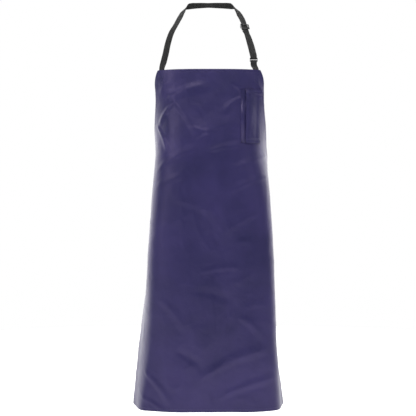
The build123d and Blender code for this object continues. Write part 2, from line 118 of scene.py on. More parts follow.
ARC_STEP = 1 * MM
ARC = np.arange(0.0, 421 * MM, ARC_STEP)
ROW_STEP = 2 * MM
ROWS = np.arange(PANEL_TOP + 20 * MM, HEM_Z - 20 * MM, -ROW_STEP)


def plan_table(side):
    """Plan curves of the smooth drape at every height of ROWS: x out, y and heading.

    heading(s) = roundness (1 - exp(-(s/c)^2)) + angle (1 + tanh((s - c)/softness)) / 2,
    and each curve is the running sum of the cos and sin of its heading.
    """
    k = 0 if side < 0 else 1
    turn, angle, soft = (drape_at(ROWS, column + k)[:, None] for column in (1, 3, 5))
    turn, soft = turn * MM, soft * MM
    heading = np.radians(drape_at(ROWS, 7))[:, None] * (1 - np.exp(-(ARC / turn) ** 2))
    heading = heading + np.radians(angle) * (1 + np.tanh((ARC - turn) / soft)) / 2
    heading = heading - heading[:, :1] * np.exp(-ARC / (40 * MM))
    middle = (heading[:, 1:] + heading[:, :-1]) / 2
    start = np.zeros((len(ROWS), 1))
    x = np.hstack((start, np.cumsum(np.cos(middle), 1) * ARC_STEP))
    y = np.hstack((start, np.cumsum(np.sin(middle), 1) * ARC_STEP))
    return np.stack((x, y + drape_at(ROWS, 8)[:, None] * MM, heading), -1)


PLAN_LEFT, PLAN_RIGHT = plan_table(-1), plan_table(1)


def half_width(z):
    """Half the cloth's flat width: the bib, the armhole curve, then straight sides.

    The bib narrows upwards as the square of the height over ARM_Z, and the armhole widens
    downwards as the depth under it to the power 1.9.
    """
    top = ARM_HALF - (ARM_HALF - TOP_HALF) * np.clip((z - ARM_Z) / (PANEL_TOP - ARM_Z), 0, 1) ** 2
    t = np.clip((ARM_Z - z) / (ARM_Z - WAIST_Z), 0, 1)
    return np.where(z > ARM_Z, top, ARM_HALF + (WAIST_HALF - ARM_HALF) * t ** 1.9)


# ------------------------------------------------------------------ the cloth's relief
LATTICE = np.random.default_rng(11).uniform(-1, 1, (64, 64))


def noise(u, v):
    """Value noise on a lattice of unit cells, smoothly interpolated, between -1 and 1."""
    i, j = np.floor(u).astype(int), np.floor(v).astype(int)
    a, b = smooth(u - i), smooth(v - j)
    i, j, i1, j1 = i % 64, j % 64, (i + 1) % 64, (j + 1) % 64
    low = LATTICE[i, j] * (1 - a) + LATTICE[i1, j] * a
    high = LATTICE[i, j1] * (1 - a) + LATTICE[i1, j1] * a
    return low * (1 - b) + high * b


# Folds, each a crest or a valley along a line in the cloth. Millimetres, and the heights are
# multiplied by FOLD_SCALE.
FOLD_SCALE = 1.45
FOLDS = (
    # start s, drop, end s, drop, width over, width under, height
    (-131, 93, -11, 48, 16, 26, 2.6),
    (-124, 84, -33, 211, 34, 16, 2.8),
    (-39, 215, 93, 167, 55, 14, 2.4),
    (77, 47, 122, 87, 7, 9, -1.6),
    (109, 88, 42, 136, 14, 14, 1.8),
    (-113, 106, -175, 179, 12, 14, 2.6),
    (-183, 172, -126, 264, 9, 11, 3.0),
    (-165, 313, -45, 252, 18, 14, 2.4),
    (-171, 367, -70, 337, 16, 14, 1.8),
    (229, 266, 80, 315, 16, 14, 2.4),
    (215, 334, 73, 383, 18, 14, 2.4),
    (-163, 72, -90, 6, 24, 20, 2.0),
    (179, 71, 109, 6, 24, 20, 2.0),
    (-59, 186, 16, 211, 14, 10, 1.2),
    (11, 255, 119, 242, 18, 12, 1.4),
    (-102, 411, 17, 455, 26, 20, 1.6),
    (157, 455, 55, 511, 24, 18, 1.6),
    (-14, 636, 99, 624, 16, 10, 1.3),
    (-39, 699, 67, 724, 24, 18, -1.2),
    (-153, 725, -70, 818, 22, 20, 1.5),
    (-14, 964, 186, 880, 26, 18, 2.2),
    (42, 1030, 211, 973, 20, 14, 2.0),
    (-210, 952, -121, 1050, 16, 14, 2.6),
    (-219, 1031, -140, 1075, 10, 12, 2.0),
    (-95, 887, -8, 948, 24, 18, -1.8),
    (99, 780, 169, 838, 20, 16, 1.6),
)


def crest(s, z):
    """Sum of the folds: each rises straight to a softened ridge and fades towards its ends.

    Across it the height is h p^2 / (p + 0.15) with p = 1 - sqrt((d/w)^2 + 0.01), where w is
    the width on that side of the ridge. The ridge bows by a twentieth of its length.
    """
    total = np.zeros(np.broadcast(s, z).shape)
    for s0, d0, s1, d1, over, under, height in FOLDS:
        first = np.array((s0 * MM, PANEL_TOP - d0 * MM))
        run = np.array((s1 * MM, PANEL_TOP - d1 * MM)) - first
        length = np.hypot(*run)
        along = ((s - first[0]) * run[0] + (z - first[1]) * run[1]) / length ** 2
        across = ((z - first[1]) * run[0] - (s - first[0]) * run[1]) / length
        across = across * np.sign(run[0]) - 0.05 * length * np.sin(np.pi * np.clip(along, 0, 1))
        width = np.where(across > 0, over, under) * MM * (0.75 + 0.5 * np.clip(along, 0, 1))
        p = np.clip(1 - np.sqrt((across / width) ** 2 + 0.01), 0, 1)
        fade = smooth((along + 0.15) / 0.3) * smooth((1.15 - along) / 0.4)
        total = total + height * MM * FOLD_SCALE * p * p / (p + 0.15) * fade
    return total


def sewn_patch(s, z, s_mid, z_mid, half_s, half_z):
    """1 where webbing is sewn behind the cloth, falling to 0 over 4 mm round it."""
    return (smooth((half_s - np.abs(s - s_mid)) / (4 * MM) + 1)
            * smooth((half_z - np.abs(z - z_mid)) / (4 * MM) + 1))


def relief(s, z):
    """How far the cloth's face stands off its smooth drape: folds, sway and crumple.

    Sway is two long waves that grow towards the hem, broad is warped noise 95 mm across,
    and crumple is ridged noise. All of it is calmed towards the top edge, and the cloth stands 0.7
    mm further out where a strap end is sewn behind it.
    """
    drop = (PANEL_TOP - z) / (PANEL_TOP - HEM_Z)
    sway = 2.2 * np.cos(2 * np.pi * s / (230 * MM) + 0.6 + 1.5 * drop)
    sway = (sway + 1.2 * np.cos(2 * np.pi * s / (118 * MM) + 2.0 - 2.2 * drop)) * smooth(drop)
    u, v = s / (95 * MM) + 20, z / (150 * MM) + 40
    warp = noise(u * 0.7 + 3, v * 0.7) * 0.8
    broad = noise(u + warp, v - warp) * 1.6
    ridged = 1 - np.abs(noise(s / (58 * MM) + 9 + warp, z / (74 * MM) + 31 - warp))
    fine = 1 - np.abs(noise(s / (27 * MM) + 30 + warp, z / (33 * MM) + 55))
    crumple = 1.1 * ridged ** 3 + 0.35 * fine ** 3
    calm = 1 - 0.75 * smooth((60 * MM - (PANEL_TOP - z)) / (60 * MM))
    patches = sum(sewn_patch(s, z, side * STRAP_S, PANEL_TOP - 20 * MM, 9 * MM, 26 * MM)
                  + sewn_patch(s, z, side * (WAIST_HALF - 22 * MM), BELT_Z, 24 * MM, 9 * MM)
                  for side in (-1, 1))
    return (crest(s, z) + (sway + broad + crumple - 0.8) * MM) * calm + 0.7 * MM * patches


def on_cloth(s, z, out=0.0, rough=1.0):
    """Points at arc lengths s (negative to the left) and heights z, out from the face.

    The smooth drape is read from its tables between their four nearest entries, and out
    and the relief are laid along its level normal.
    """
    s, z, out = np.broadcast_arrays(np.asarray(s, float), np.asarray(z, float),
                                    np.asarray(out, float))
    row = np.clip((ROWS[0] - z) / ROW_STEP, 0, len(ROWS) - 1.001)
    arc = np.clip(np.abs(s) / ARC_STEP, 0, len(ARC) - 1.001)
    i, j = row.astype(int), arc.astype(int)
    a, b = (row - i)[..., None], (arc - j)[..., None]
    place = [(table[i, j] * (1 - b) + table[i, j + 1] * b) * (1 - a)
             + (table[i + 1, j] * (1 - b) + table[i + 1, j + 1] * b) * a
             for table in (PLAN_LEFT, PLAN_RIGHT)]
    side = np.where(s < 0, -1.0, 1.0)
    x, y, heading = np.moveaxis(np.where(s[..., None] < 0, *place), -1, 0)
    out = out + rough * relief(s, z)
    return np.stack((side * (x + out * np.sin(heading)), y - out * np.cos(heading),
                     np.broadcast_to(z, x.shape)), -1)


def across_cloth(s, z):
    """Level direction along the cloth towards +s."""
    return unit(on_cloth(s + MM, z, rough=0.0) - on_cloth(s - MM, z, rough=0.0))


def hem_fold(p, edge):
    """Where material that runs p past the middle lies, with its edge folded in at edge.

    Up to the edge it lies flat, then it turns through half a circle of radius HEM_R and
    runs back. Returns the arc length and the depth behind the face.
    """
    past = np.abs(p) - (edge - HEM_R)
    turn = np.clip(past / HEM_R, 0, np.pi)
    back = np.clip(past - np.pi * HEM_R, 0, None)
    flat = np.minimum(np.abs(p), edge - HEM_R)
    return np.sign(p) * (flat + HEM_R * np.sin(turn) - back), HEM_R * (1 - np.cos(turn))


# ------------------------------------------------------------------ mesh helpers
def unit(v):
    """Vectors divided by their lengths."""
    return v / np.maximum(np.linalg.norm(v, axis=-1, keepdims=True), 1e-12)


def spaced(low, high, step):
    """Even steps from low to high, about step long."""
    return np.linspace(low, high, max(int(round((high - low) / step)), 1) + 1)


def quads(rows, columns, wrap=False):
    """Vertex numbers of the quads of a grid, closed round its columns if wrap."""
    wide = columns if wrap else columns - 1
    r, c = np.meshgrid(np.arange(rows - 1), np.arange(wide), indexing="ij")
    after = (c + 1) % columns
    return np.stack((r * columns + c, (r + 1) * columns + c, (r + 1) * columns + after,
                     r * columns + after), -1).reshape(-1, 4).tolist()


def mesh_object(name, points, faces, uv=None):
    """An object from points, faces as lists of vertex numbers, and a UV for each point."""
    mesh = bpy.data.meshes.new(name)
    mesh.from_pydata(np.asarray(points, float).reshape(-1, 3).tolist(), [], faces)
    if uv is not None:
        corners = np.empty(len(mesh.loops), int)
        mesh.loops.foreach_get("vertex_index", corners)
        layer = mesh.uv_layers.new(name="Cut")
        layer.data.foreach_set("uv", np.asarray(uv, float).reshape(-1, 2)[corners].ravel())
    mesh.polygons.foreach_set("use_smooth", np.ones(len(mesh.polygons), bool))
    mesh.update()
    thing = bpy.data.objects.new(name, mesh)
    bpy.context.scene.collection.objects.link(thing)
    return thing


def face_outwards(thing):
    """Turn every face of a closed mesh outwards."""
    work = bmesh.new()
    work.from_mesh(thing.data)
    bmesh.ops.recalc_face_normals(work, faces=work.faces)
    work.to_mesh(thing.data)
    work.free()


def place_piece(thing, body, replaces):
    """Hangs the piece on the body it rides on, if one, and hides the nodes it stands for."""
    if body:
        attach(thing, body)
    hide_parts(*replaces)
    return thing


def cloth_piece(name, points, uv, replaces):
    """A sheet from a grid of its middle surface: coated outside, backing inside."""
    rows, columns = points.shape[:2]
    thing = mesh_object(name, points, quads(rows, columns), uv)
    thing.data.materials.append(COATED)
    thing.data.materials.append(BACKING)
    solid = thing.modifiers.new("Thickness", "SOLIDIFY")
    solid.thickness = CLOTH_T
    solid.offset = 0
    solid.material_offset = 1
    return place_piece(thing, "apron", replaces)


# ------------------------------------------------------------------ material helpers
def material(name):
    """A new material, its node tree and its Principled node."""
    made = bpy.data.materials.new(name)
    made.use_nodes = True
    tree = made.node_tree
    return made, tree, tree.nodes["Principled BSDF"]


def node(tree, kind, **values):
    """A node with these sockets or settings."""
    made = tree.nodes.new(kind)
    for key, value in values.items():
        if key in made.inputs:
            made.inputs[key].default_value = value
        else:
            setattr(made, key, value)
    return made


def ramp(tree, source, stops):
    """Colour ramp over source: stops are (position, colour)."""
    made = tree.nodes.new("ShaderNodeValToRGB")
    elements = made.color_ramp.elements
    while len(elements) < len(stops):
        elements.new(0.5)
    for element, (position, colour) in zip(elements, stops):
        element.position = position
        element.color = (*colour, 1.0)
    tree.links.new(source, made.inputs["Fac"])
    return made.outputs["Color"]


def noise_node(tree, vector, scale, detail=4.0, roughness=0.55, distortion=0.0):
    """Noise between about 0 and 1 over a vector socket."""
    made = node(tree, "ShaderNodeTexNoise", Scale=scale, Detail=detail, Roughness=roughness,
                Distortion=distortion)
    tree.links.new(vector, made.inputs["Vector"])
    return made.outputs["Fac"]


def spread(tree, source, low, high):
    """Map 0..1 to low..high."""
    made = node(tree, "ShaderNodeMapRange")
    made.inputs["To Min"].default_value = low
    made.inputs["To Max"].default_value = high
    tree.links.new(source, made.inputs["Value"])
    return made.outputs["Result"]


def bump(tree, height, distance, strength=1.0, below=None):
    """A normal tilted by a height socket, on top of the normal below."""
    made = node(tree, "ShaderNodeBump", Distance=distance, Strength=strength)
    tree.links.new(height, made.inputs["Height"])
    if below is not None:
        tree.links.new(below, made.inputs["Normal"])
    return made.outputs["Normal"]


def sums(tree, operation, a, b=None, c=None):
    """A Math node: a, b and c are numbers or sockets."""
    made = node(tree, "ShaderNodeMath", operation=operation)
    for socket, value in zip(made.inputs, (a, b, c)):
        if isinstance(value, (int, float)):
            socket.default_value = value
        elif value is not None:
            tree.links.new(value, socket)
    return made.outputs[0]


def object_place(tree):
    """The place in the object's own coordinates."""
    return node(tree, "ShaderNodeTexCoord").outputs["Object"]


def cut_place(tree):
    """The piece's own metres across and along, before it was folded and sewn."""
    split = node(tree, "ShaderNodeSeparateXYZ")
    tree.links.new(node(tree, "ShaderNodeUVMap", uv_map="Cut").outputs["UV"],
                   split.inputs["Vector"])
    return split.outputs["X"], split.outputs["Y"]


def waves(tree, source, pitch):
    """A sine of source that repeats every pitch."""
    return sums(tree, "SINE", sums(tree, "MULTIPLY", source, 2 * math.pi / pitch))


CLOTH_DARK = (0.0122, 0.0124, 0.052)
CLOTH_LIGHT = (0.0240, 0.0204, 0.080)
CLOTH_GLOSS = (0.36, 0.50)


def coated_cloth():
    """Dark violet-blue coating: fine grain, soft crumples, slightly uneven gloss."""
    made, tree, shader = material("coated cloth")
    place = object_place(tree)
    cloudy = noise_node(tree, place, 7.0, 3.0)
    tree.links.new(ramp(tree, cloudy, ((0.30, CLOTH_DARK), (0.72, CLOTH_LIGHT))),
                   shader.inputs["Base Color"])
    patchy = noise_node(tree, place, 38.0, 4.0)
    tree.links.new(spread(tree, patchy, *CLOTH_GLOSS), shader.inputs["Roughness"])
    shader.inputs["Specular IOR Level"].default_value = 0.40
    shader.inputs["Specular Tint"].default_value = (0.80, 0.66, 1.0, 1.0)
    soft = bump(tree, noise_node(tree, place, 26.0, 5.0, 0.5, 0.6), 0.0024, 0.5)
    fine = bump(tree, noise_node(tree, place, 900.0, 2.0), 0.00006, 0.6, soft)
    tree.links.new(fine, shader.inputs["Normal"])
    return made


def backing_cloth():
    """The uncoated back: a knitted ground in a paler, greyer violet."""
    made, tree, shader = material("backing cloth")
    across, along = cut_place(tree)
    knit = sums(tree, "MULTIPLY", waves(tree, across, 0.0011), waves(tree, along, 0.0014))
    lift = spread(tree, knit, 0.0, 1.0)
    tree.links.new(ramp(tree, lift, ((0.2, (0.020, 0.019, 0.052)), (0.8, (0.042, 0.039, 0.090)))),
                   shader.inputs["Base Color"])
    tree.links.new(bump(tree, lift, 0.0002, 0.5), shader.inputs["Normal"])
    shader.inputs["Roughness"].default_value = 0.85
    shader.inputs["Sheen Weight"].default_value = 0.25
    return made


def webbing_material():
    """Black webbing: ribs along it, crossed by the weave's slant."""
    made, tree, shader = material("black webbing")
    across, along = cut_place(tree)
    rib = waves(tree, across, 0.0022)
    slant = sums(tree, "ADD", along, sums(tree, "ABSOLUTE", across))
    height = spread(tree, sums(tree, "MULTIPLY", rib, waves(tree, slant, 0.0017)), 0.0, 1.0)
    tree.links.new(ramp(tree, height, ((0.15, (0.0025, 0.0025, 0.0025)),
                                       (0.85, (0.012, 0.012, 0.0125)))),
                   shader.inputs["Base Color"])
    tree.links.new(bump(tree, height, 0.0003, 0.7), shader.inputs["Normal"])
    fuzz = noise_node(tree, object_place(tree), 1500.0, 2.0)
    tree.links.new(spread(tree, fuzz, 0.55, 0.85), shader.inputs["Roughness"])
    shader.inputs["Sheen Weight"].default_value = 0.06
    shader.inputs["Specular IOR Level"].default_value = 0.3
    return made


def moulded_plastic():
    """Black moulded plastic: a faint texture, a little glossier in places."""
    made, tree, shader = material("black moulded plastic")
    place = object_place(tree)
    cloudy = noise_node(tree, place, 120.0, 3.0)
    tree.links.new(ramp(tree, cloudy, ((0.3, (0.030, 0.030, 0.031)), (0.7, (0.045, 0.045, 0.046)))),
                   shader.inputs["Base Color"])
    tree.links.new(spread(tree, cloudy, 0.14, 0.28), shader.inputs["Roughness"])
    tree.links.new(bump(tree, noise_node(tree, place, 2500.0, 2.0), 0.00004, 0.5),
                   shader.inputs["Normal"])
    return made


def sewing_thread(name, dark, light):
    """Sewing thread: a fine twist along the stitch."""
    made, tree, shader = material(name)
    twist = noise_node(tree, object_place(tree), 2200.0, 2.0)
    tree.links.new(ramp(tree, twist, ((0.3, dark), (0.7, light))), shader.inputs["Base Color"])
    tree.links.new(bump(tree, twist, 0.0001, 0.6), shader.inputs["Normal"])
    shader.inputs["Roughness"].default_value = 0.55
    return made


COATED = coated_cloth()
BACKING = backing_cloth()
WEBBING = webbing_material()
PLASTIC = moulded_plastic()
CLOTH_THREAD = sewing_thread("violet thread", (0.02, 0.019, 0.065), (0.045, 0.042, 0.11))


# ------------------------------------------------------------------ the apron's cloth
BIB_ROWS = 325 * MM         # the depth of the closer rows, over the bib and its armholes


def apron_cloth():
    """The panel: a grid in the cut cloth, whose four edges are folded in as hems.

    A row's cut width follows half_width; hem_fold then lays each hem behind the face.
    """
    half_length = (PANEL_TOP - HEM_Z) / 2
    fold_end = (math.pi - 1) * HEM_R
    fold = np.concatenate((spaced(-HEM_R, fold_end, 0.7 * HEM_R)[1:],
                           spaced(fold_end, fold_end + HEM_W, 4 * MM)[1:]))
    waist = BIB_ROWS - half_length
    flat_down = np.concatenate((spaced(HEM_R - half_length, waist, 3.6 * MM),
                                spaced(waist, half_length - 12 * MM, 5 * MM)[1:],
                                spaced(half_length - 12 * MM, half_length - HEM_R, 2 * MM)[1:]))
    q = np.concatenate((-(half_length + fold[::-1]), flat_down, half_length + fold))
    down, depth_q = hem_fold(q, half_length)
    z = ((PANEL_TOP + HEM_Z) / 2 - down)[:, None]
    width = half_width(z)
    inner = np.concatenate((spaced(0, 0.955, 0.0148), spaced(0.955, 1, 0.0065)[1:]))
    flat = inner * (width - HEM_R)
    over = width + fold
    half = np.concatenate((flat, over), 1)
    p = np.concatenate((-half[:, :0:-1], half), 1)
    s, depth_p = hem_fold(p, width)
    points = on_cloth(s, z, -CLOTH_T / 2 - depth_p - depth_q[:, None])
    thing = cloth_piece("apron_cloth", points, np.stack(np.broadcast_arrays(p, -q[:, None]), -1),
                        ["apron_panel"])


# ------------------------------------------------------------------ the pocket
POCKET_TOP = -299 * MM
POCKET_FOOT = -468 * MM
POCKET_IN, POCKET_OUT = 117 * MM, 176 * MM
POCKET_BULGE = 5 * MM
POCKET_HEM = 10 * MM
FLANGE_IN, FLANGE_OUT, GUSSET_END = 102 * MM, 109 * MM, 133 * MM
GUSSET_T = 1.5 * MM         # room for the gusset between the front and the bib


def gape_at(z):
    """The pocket gapes below its top hem, which is sewn down, and closes towards its foot."""
    top = 0.3 + 0.7 * smooth((POCKET_TOP - 3 * MM - z) / (16 * MM))
    return top * smooth((z - POCKET_FOOT - 10 * MM) / (60 * MM))


def pocket_out(s, z):
    """How far the pocket's front stands off the bib: it closes at its foot and outer side."""
    lies_on_gusset = GUSSET_T * smooth((GUSSET_END + 24 * MM - s) / (30 * MM))
    gape = smooth((POCKET_OUT - s) / (52 * MM)) * gape_at(z)
    return GAP + lies_on_gusset + POCKET_BULGE * gape


def hem_puff(across):
    """A hem puffs up by 1.1 layers times exp(-(distance from its middle / 4.5 mm)^2)."""
    return 1.1 * np.exp(-(across / (4.5 * MM)) ** 2)


def pocket_lift(s, z):
    """The pocket's hems lie under its front, and each lifts it by one layer and its puff."""
    return LAYER * (smooth((s - POCKET_OUT + 21 * MM) / (14 * MM))
                    + smooth((POCKET_IN + 24 * MM - s) / (18 * MM))
                    + smooth((z - POCKET_TOP + 17 * MM) / (4 * MM))
                    + smooth((POCKET_FOOT + 17 * MM - z) / (4 * MM))
                    + hem_puff(z - POCKET_FOOT - 8 * MM) + hem_puff(POCKET_TOP - 8 * MM - z))


def gusset_out(s, z):
    """The gusset's flange lies on the bib and ends in a raised pleat, beyond which it dips.

    From the dip it rises again, out of sight, to lie against the back of the pocket's edge.
    """
    under_front = pocket_out(s, z) - GUSSET_T
    rise = smooth((s - POCKET_IN) / (6 * MM))
    pleat = (smooth((s - FLANGE_OUT + 3 * MM) / (5 * MM))
             * smooth((POCKET_IN - 1.5 * MM - s) / (3 * MM))
             * smooth((POCKET_TOP - 7 * MM - z) / (10 * MM)))
    flange = GAP + LAYER * smooth((FLANGE_IN + 8 * MM - s) / (2 * MM))
    return (flange + (1 + 2 * gape_at(z)) * MM * pleat) * (1 - rise) + under_front * rise


def pocket_front():
    """The front: a grid whose four edges are folded under, laid at pocket_out."""
    half_s, half_z = (POCKET_OUT - POCKET_IN) / 2, (POCKET_TOP - POCKET_FOOT) / 2
    fold_end = (math.pi - 1) * HEM_R
    fold = np.concatenate((spaced(-HEM_R, fold_end, 0.6 * HEM_R),
                           fold_end + spaced(2 * MM, POCKET_HEM, 2 * MM)))
    half_p = np.concatenate((spaced(0, half_s - 1.2 * HEM_R, 1.5 * MM), half_s + fold))
    half_q = np.concatenate((spaced(0, half_z - 1.2 * HEM_R, 2 * MM), half_z + fold))
    p = np.concatenate((-half_p[:0:-1], half_p))[None]
    q = np.concatenate((-half_q[:0:-1], half_q))[:, None]
    s, depth_p = hem_fold(p, half_s)
    down, depth_q = hem_fold(q, half_z)
    s, z = s + (POCKET_IN + POCKET_OUT) / 2, (POCKET_TOP + POCKET_FOOT) / 2 - down
    out = pocket_out(s, z) + pocket_lift(s, z) + CLOTH_T / 2 - depth_p - depth_q
    thing = cloth_piece("pocket_front", on_cloth(s, z, out),
                        np.stack(np.broadcast_arrays(p, -q), -1), ["pen_pocket"])


def pocket_gusset():
    """The gusset: its flange's edge is folded under, and its far edge is hidden."""
    fold_end = (math.pi - 1) * HEM_R
    p = np.concatenate((-(fold_end + spaced(5, 2, 1.5) * MM),
                        -spaced(fold_end, -HEM_R, 0.6 * HEM_R),
                        spaced(1.5 * MM, GUSSET_END - FLANGE_IN, 1.1 * MM)))[None]
    span = GUSSET_END - FLANGE_IN
    folded, depth = hem_fold(np.minimum(p - span, 0), span)
    s = np.where(p < 0, folded + span, p) + FLANGE_IN
    z = spaced(POCKET_TOP, POCKET_FOOT + HEM_R, 2.4 * MM)[:, None]
    out = gusset_out(s, z) + CLOTH_T / 2 - depth
    thing = cloth_piece("pocket_side", on_cloth(s, z, out),
                        np.stack(np.broadcast_arrays(p, z), -1), ["pocket_gusset"])


# ------------------------------------------------------------------ stitches
SEAM_IN = 9 * MM            # from each hem's fold to its seam
STITCH_LENGTH = 3.0 * MM
STITCH_GAP = 0.9 * MM
THREAD_R = 0.28 * MM


def one_stitch():
    """A thread along x whose ends dive into the cloth: five rings of six points."""
    t = np.linspace(-1, 1, 5)
    lift = 0.9 * THREAD_R * (1 - t ** 4) - 0.5 * THREAD_R
    radius = THREAD_R * (1 - 0.55 * t ** 4)
    a = np.linspace(0, 2 * np.pi, 6, endpoint=False)
    ring = (t[:, None] * STITCH_LENGTH / 2, radius[:, None] * np.cos(a),
            lift[:, None] + radius[:, None] * np.sin(a))
    faces = quads(5, 6, wrap=True) + [list(range(6)), list(range(24, 30))[::-1]]
    return np.stack(np.broadcast_arrays(*ring), -1).reshape(-1, 3), np.array(faces, object)


def seam(s, z, out=None, count=400):
    """Points and outward normals along a straight seam from (s0, z0) to (s1, z1)."""
    t = np.linspace(0, 1, count)
    s, z = s[0] + (s[1] - s[0]) * t, z[0] + (z[1] - z[0]) * t
    return seam_on(s, z, out)


def seam_on(s, z, out=None):
    """Points and normals of a seam: the normal is the cross of the face's two slopes."""
    face = out or (lambda s, z: 0 * s)
    spot = lambda ds, dz: on_cloth(s + ds, z + dz, face(s + ds, z + dz))
    step = 0.5 * MM
    normal = np.cross(spot(step, 0) - spot(-step, 0), spot(0, step) - spot(0, -step))
    return spot(0, 0), unit(normal)


def stitches(name, lines, replaces):
    """Rows of stitches, each placed at even steps along its line and turned to its normal."""
    template, faces = one_stitch()
    points = []
    for line, normal in lines:
        run = np.concatenate(([0.0], np.cumsum(np.linalg.norm(np.diff(line, axis=0), axis=1))))
        number = max(int(run[-1] / (STITCH_LENGTH + STITCH_GAP)), 1)
        at = (np.arange(number) + 0.5) * run[-1] / number
        along = lambda values, at: np.stack([np.interp(at, run, v) for v in values.T], -1)
        x_dir = unit(along(line, at + MM) - along(line, at - MM))
        y_dir = unit(np.cross(along(normal, at), x_dir))
        turn = np.stack((x_dir, y_dir, np.cross(x_dir, y_dir)), 1)
        points.append(along(line, at)[:, None] + template @ turn)
    points = np.concatenate(points)
    every = [[base + v for v in face] for base in range(0, len(points) * len(template),
                                                       len(template)) for face in faces]
    thing = mesh_object(name, points, every)
    face_outwards(thing)
    thing.data.materials.append(CLOTH_THREAD)
    return place_piece(thing, "apron", replaces)


def hem_stitches():
    """One seam along every hem, SEAM_IN from its fold."""
    z = np.linspace(PANEL_TOP - 4 * MM, HEM_Z + 8 * MM, 900)
    lines = [seam((4 * MM - TOP_HALF, TOP_HALF - 4 * MM), (PANEL_TOP - SEAM_IN,) * 2),
             seam((8 * MM - WAIST_HALF, WAIST_HALF - 8 * MM), (HEM_Z + SEAM_IN,) * 2, count=700)]
    lines += [seam_on(side * (half_width(z) - SEAM_IN), z) for side in (-1, 1)]
    stitches("hem_stitches", lines, ["hem_stitching"])


def pocket_stitches():
    """Two seams on each pocket hem, one down its outer side and one down the flange."""
    front = lambda s, z: pocket_out(s, z) + pocket_lift(s, z) + CLOTH_T
    flange = lambda s, z: gusset_out(s, z) + CLOTH_T
    ends = (POCKET_IN + 2 * MM, POCKET_OUT - 2 * MM)
    lines = [seam(ends, (z, z), front, 60) for z in (POCKET_TOP - 6 * MM, POCKET_TOP - 12 * MM,
                                                     POCKET_FOOT + 11 * MM, POCKET_FOOT + 3 * MM)]
    down = (POCKET_TOP - 2 * MM, POCKET_FOOT + 2 * MM)
    lines += [seam((s, s), down, front) for s in (POCKET_OUT - 3 * MM, POCKET_OUT - 8 * MM)]
    lines.append(seam((FLANGE_IN + 4 * MM,) * 2, down, flange))
    stitches("pocket_stitches", lines, ["pocket_stitching"])


def crossed_square(s, z, half_s, half_z):
    """Three sides of the square that holds a strap end, all but its top, and its two diagonals."""
    corners = ((-1, -1), (1, -1), (1, 1), (-1, 1), (-1, -1), (1, 1), (-1, 1), (1, -1))
    return [seam((s + a[0] * half_s, s + b[0] * half_s), (z + a[1] * half_z, z + b[1] * half_z),
                 count=30)
            for a, b in zip(corners[:-1], corners[1:]) if a != (1, 1) or b != (-1, 1)]


def strap_stitches():
    """A crossed square at each of the four strap ends sewn into the cloth."""
    lines = []
    for side in (-1, 1):
        lines += crossed_square(side * STRAP_S, PANEL_TOP - 28 * MM, 7 * MM, 11 * MM)
        lines += crossed_square(side * (WAIST_HALF - 26 * MM), BELT_Z, 11 * MM, 7 * MM)
    stitches("strap_stitches", lines, ["strap_stitching"])


# ------------------------------------------------------------------ webbing
RIB_PITCH = 2.5 * MM
RIB_H = 0.14 * MM


def web_profile():
    """Section of flat webbing: flat with ribs, its edges rounded as a tenth-power curve."""
    u = np.sin(np.linspace(-np.pi / 2, np.pi / 2, 33))
    across = u * WEB_W / 2
    ribs = RIB_H * (np.cos(2 * np.pi * across / RIB_PITCH) - 1) / 2 * (1 - u ** 8)
    deep = (WEB_T / 2 + ribs) * (1 - np.abs(u) ** 10) ** 0.5
    return (np.concatenate((across, across[-2:0:-1])), np.concatenate((deep, -deep[-2:0:-1])))


def web(name, path, wide, body, replaces, square=1.0):
    """Webbing: the profile carried along a path, its flat ends closed.

    The section stands square to the path where square is 1: across is the width direction
    less its share along the path, times square, and deep is the cross product of the path's
    direction and across. UVs are metres across and along.
    """
    along = unit(np.gradient(path, axis=0))
    across_dir = unit(wide - square * along * np.sum(wide * along, axis=1, keepdims=True))
    deep_dir = unit(np.cross(along, across_dir))
    across, deep = web_profile()
    ring = (path[:, None] + across_dir[:, None] * across[None, :, None]
            + deep_dir[:, None] * deep[None, :, None])
    n, m = ring.shape[:2]
    run = np.concatenate(([0.0], np.cumsum(np.linalg.norm(np.diff(path, axis=0), axis=1))))
    faces = quads(n, m, wrap=True)
    faces += [list(range(m)), list(range((n - 1) * m, n * m))[::-1]]
    thing = mesh_object(name, ring, faces, np.stack(np.broadcast_arrays(across, run[:, None]), -1))
    face_outwards(thing)
    thing.data.materials.append(WEBBING)
    return place_piece(thing, body, replaces)


PATH_STEP = 2.5 * MM


def smooth_path(points, wides, square=None):
    """Cubic through the points with slopes from their neighbours.

    The widths and the squareness blend from each point to the next by a smooth step.
    """
    square = np.ones(len(points)) if square is None else np.asarray(square, float)
    points, wides = np.asarray(points, float), unit(np.asarray(wides, float))
    marks = np.concatenate(([0.0], np.cumsum(np.linalg.norm(np.diff(points, axis=0), axis=1))))
    slopes = np.gradient(points, marks, axis=0)
    at = spaced(0, marks[-1], PATH_STEP)
    i = np.clip(np.searchsorted(marks, at, side="right") - 1, 0, len(points) - 2)
    span = (marks[i + 1] - marks[i])[:, None]
    t = (at - marks[i])[:, None] / span
    mix = smooth(t)
    path = (points[i] * (1 - mix) + points[i + 1] * mix
            + span * (t * (1 - t) ** 2 * slopes[i] - t * t * (1 - t) * slopes[i + 1]))
    between = lambda values: values[i] * (1 - mix) + values[i + 1] * mix
    return path, unit(between(wides)), between(square[:, None])


def round_bar(bar, first, over, radius=FOLD_R):
    """Half a turn round a bar, from the side first points to, by way of the side over."""
    a = np.linspace(0, np.pi, 13)[:, None]
    return bar + radius * (np.cos(a) * first + np.sin(a) * over)


def vec(*values):
    """A place given in millimetres."""
    return np.array(values, float) * MM


